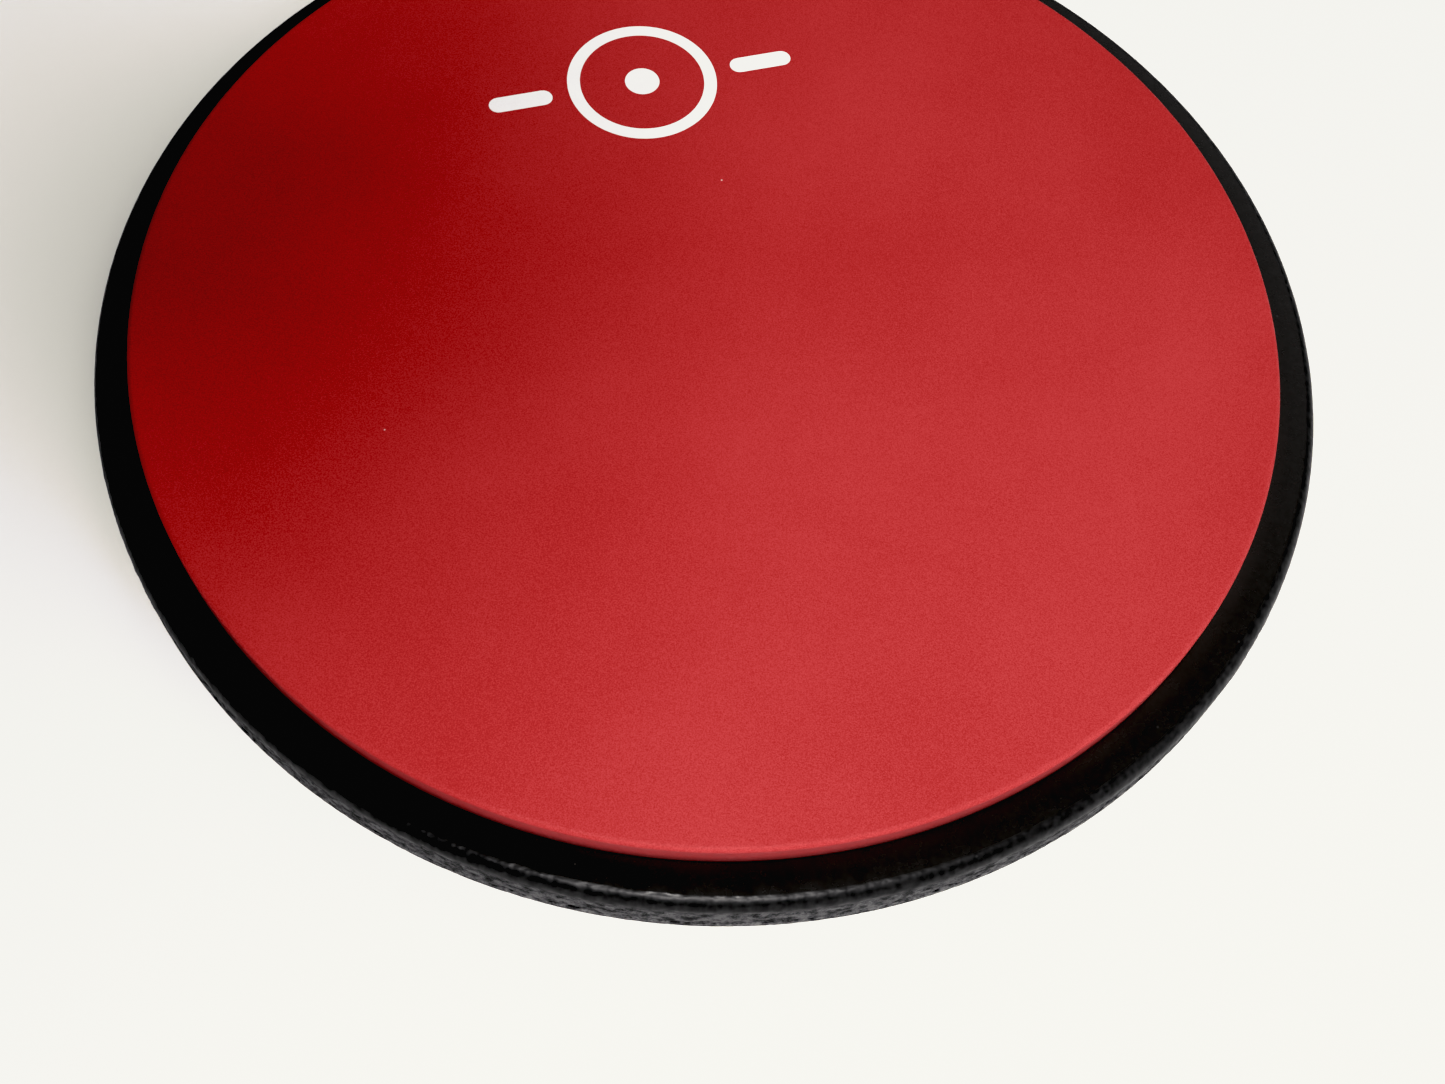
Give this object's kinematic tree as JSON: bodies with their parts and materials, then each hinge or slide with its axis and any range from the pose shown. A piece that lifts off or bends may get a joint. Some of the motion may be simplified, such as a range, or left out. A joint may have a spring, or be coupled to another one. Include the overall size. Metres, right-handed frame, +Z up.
{
  "type": "practice pad",
  "caption": "Round drum practice pad: a red gum-rubber playing disc bonded to a black painted board with a rounded rim, on a non-slip rubber base sheet.",
  "frame": {"origin": "centre of the pad's underside, on the surface that it rests on", "axes": "+Z up, out of the playing face; +X to the right and +Y away from the player, towards the printed mark"},
  "size_m": [0.3048, 0.3048, 0.0203],
  "materials": {
    "black_rubber": "matte",
    "adhesive": "satin",
    "black_board": "satin black paint",
    "red_rubber": "matte",
    "white_ink": "matte ink print"
  },
  "bodies": {
    "root": {"base_rubber": "black_rubber", "base_adhesive": "adhesive", "board": "black_board", "disc_adhesive": "adhesive", "playing_disc": "red_rubber"}
  },
  "joints": []
}
